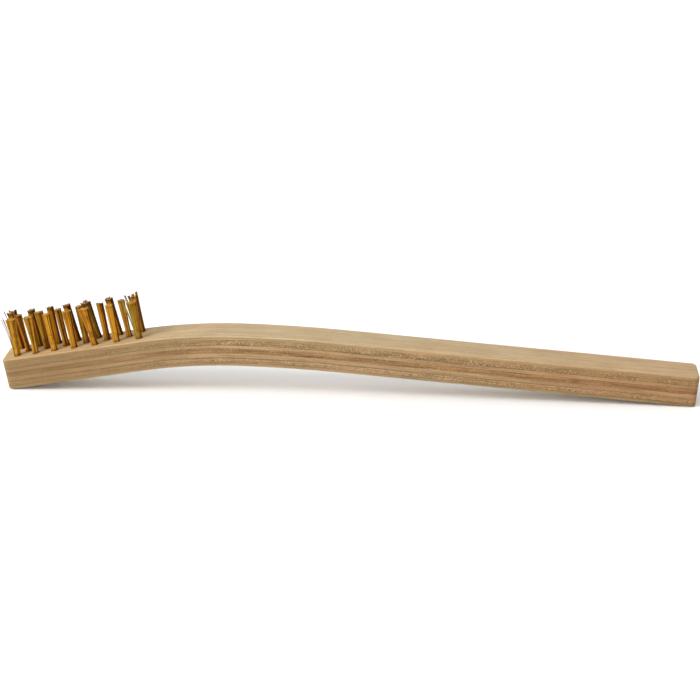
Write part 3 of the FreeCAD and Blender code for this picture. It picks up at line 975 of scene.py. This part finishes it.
STEEL = tone(118, 114, 108), tone(176, 172, 166)

# Where a wire's root ends and its tip starts, as shares of its height
ROOT_ENDS = 0.10
TIP_STARTS = (0.90, 0.99)

# How many features the metals' noises have in a metre
TARNISH_SCALE = 420.0
WIRE_GRAIN_SCALE = 2600.0
STEEL_LINES_ALONG = 300.0
STEEL_LINES_ACROSS = 4000.0


def brass_material():
    """Drawn brass wire: golden, with browner, redder and greener wires among the others, painted
    shade on each tuft's tail side and painted shade at the wires' roots.
    """
    material, sheet = new_material("brass_wire")
    point = sheet.object_point()
    pale = sheet.attribute("wire_pale")
    red = sheet.attribute("wire_red")
    olive = sheet.attribute("wire_olive")
    rim = sheet.attribute("wire_rim")
    burnt = sheet.attribute("wire_burnt")
    height = sheet.attribute("wire_height")
    cut_end = sheet.attribute("wire_cut")
    tarnish = sheet.noise(point, TARNISH_SCALE)
    grain = sheet.noise(point, WIRE_GRAIN_SCALE, detail=2.0)
    root = 1.0 - sheet.step(height, 0.0, ROOT_ENDS)
    tip = sheet.step(height, *TIP_STARTS) * (0.35 + sheet.step(rim, 0.4, 0.85) * 0.65) * burnt
    clean = 1.0 - sheet.step(rim, 0.62, 0.85) * burnt
    # The paleness holds painted shade on each tuft's tail side
    colour = sheet.mix(sheet.step(pale, 0.0, 0.72), DARK_BRASS, PALE_BRASS)
    colour = sheet.mix(red * 0.75, colour, RED_BRASS)
    colour = sheet.mix(olive * 0.8, colour, OLIVE_BRASS)
    colour = sheet.mix(sheet.step(tarnish, 0.5, 0.75) * 0.45, colour, TARNISH)
    # Painted shade at the wires' roots, where they come out of the hole
    colour = sheet.mix(root * 0.45, colour, ROOT_SHADE)
    colour = sheet.mix(tip * 0.85, colour, BURNT_BRASS)
    colour = sheet.mix(cut_end * clean * 0.65, colour, CUT_BRASS)
    sheet.surface({
        "Base Color": colour,
        "Metallic": 0.8,
        "Specular IOR Level": 0.1,
        "Roughness": 0.34 + tarnish * 0.14 + cut_end * 0.2,
        "Normal": sheet.bump(grain, 0.01 * MM)})
    return material


def anchor_material():
    """The flat steel wire of the anchors, with fine lines along it."""
    material, sheet = new_material("anchor_wire")
    x, y, z = sheet.split(sheet.object_point())
    lines = sheet.noise(sheet.point(
        x * STEEL_LINES_ALONG, y * STEEL_LINES_ACROSS, z * STEEL_LINES_ACROSS))
    sheet.surface({
        "Base Color": sheet.mix(lines, *STEEL),
        "Metallic": 1.0,
        "Roughness": 0.34 + lines * 0.2,
        "Normal": sheet.bump(lines, 0.01 * MM)})
    return material


# ---------------------------------------------------------------- studio

FLOOR_HALF = 1.6
FLOOR_TONES = grey(0.93), grey(0.96)

# Pale walls, and a dimmer ceiling that takes over between these heights in the sky
WALL = grey(1.0)
CEILING = grey(0.26)
CEILING_RISES = (0.12, 0.45)

# Each light's direction from the brush in degrees, its distance and size in metres and its
# power in watts
LIGHTS = {
    "key": {"azimuth": -62, "elevation": 32, "distance": 2.4, "size": 1.0, "power": 52.0},
    "front": {"azimuth": -22, "elevation": 16, "distance": 2.4, "size": 1.4, "power": 12.0},
    "back": {"azimuth": 155, "elevation": 28, "distance": 2.4, "size": 1.4, "power": 12.0},
    "overhead": {"azimuth": 0, "elevation": 89, "distance": 2.2, "size": 4.0, "power": 38.0},
}

# The photograph's view, in mm, degrees and metres: a long lens that looks down on the brush
# from in front of it, a little towards its tail
CAMERA_LENS = 94.8
CAMERA_SENSOR = 36.0
CAMERA_TARGET = Vector((0.55, 0, 12.7)) * MM
CAMERA_AZIMUTH = 3.889
CAMERA_ELEVATION = 21.0
CAMERA_DISTANCE = 0.526


def floor_material():
    material, sheet = new_material("pale_floor")
    soft = sheet.noise(sheet.object_point(), 3.0, detail=2.0)
    sheet.surface({
        "Base Color": sheet.mix(soft, *FLOOR_TONES),
        "Roughness": 0.9,
        "Specular IOR Level": 0.1})
    return material


def build_floor():
    mesh = bpy.data.meshes.new("floor")
    corners = [(x * FLOOR_HALF, y * FLOOR_HALF, 0) for x, y in ((-1, -1), (1, -1), (1, 1), (-1, 1))]
    mesh.from_pydata(corners, [], [(0, 1, 2, 3)])
    mesh.materials.append(floor_material())
    floor = bpy.data.objects.new("floor", mesh)
    bpy.context.scene.collection.objects.link(floor)


def towards(azimuth, elevation):
    """A direction from the brush, with azimuth 0 in front of it and 90 past its tail."""
    turn, rise = math.radians(azimuth), math.radians(elevation)
    return Vector((
        math.sin(turn) * math.cos(rise),
        -math.cos(turn) * math.cos(rise),
        math.sin(rise)))


def aim(thing, target):
    heading = target - thing.location
    thing.rotation_euler = heading.to_track_quat("-Z", "Y").to_euler()


def build_light(name, azimuth, elevation, distance, size, power):
    data = bpy.data.lights.new(name, "AREA")
    data.size = size
    data.energy = power
    light = bpy.data.objects.new(name, data)
    light.location = towards(azimuth, elevation) * distance
    aim(light, Vector((0, 0, 0)))
    bpy.context.scene.collection.objects.link(light)


def build_world():
    """Pale walls down to the floor and past its edge, and a dimmer ceiling above them."""
    world = bpy.data.worlds.new("studio")
    world.use_nodes = True
    sheet = Sheet(world.node_tree)
    direction = Signal(sheet, sheet.node("TexCoord").outputs["Generated"])
    rise = sheet.step(sheet.split(direction)[2], *CEILING_RISES)
    backdrop = world.node_tree.nodes["Background"]
    sheet.plug(backdrop.inputs["Color"], sheet.mix(rise, WALL, CEILING))
    bpy.context.scene.world = world


def build_camera():
    data = bpy.data.cameras.new("camera")
    data.lens = CAMERA_LENS
    data.sensor_width = CAMERA_SENSOR
    data.clip_start = 0.01
    camera = bpy.data.objects.new("camera", data)
    camera.location = CAMERA_TARGET + towards(CAMERA_AZIMUTH, CAMERA_ELEVATION) * CAMERA_DISTANCE
    aim(camera, CAMERA_TARGET)
    bpy.context.scene.collection.objects.link(camera)
    bpy.context.scene.camera = camera


# ---------------------------------------------------------------- the whole scene

for node, material in wood_materials().items():
    finish_node(node, material)

brass = brass_material()
steel = anchor_material()
tuft_nodes = sorted(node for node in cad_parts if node.startswith("tuft_"))
for number, node in enumerate(tuft_nodes):
    anchor = node.replace("tuft_", "anchor_")
    build_tuft(node, anchor, brass, FIRST_TUFT_SEED + number)
    finish_node(anchor, steel)

build_floor()
build_world()
for name, settings in LIGHTS.items():
    build_light(name, **settings)
build_camera()
bpy.context.scene.view_settings.view_transform = "Standard"
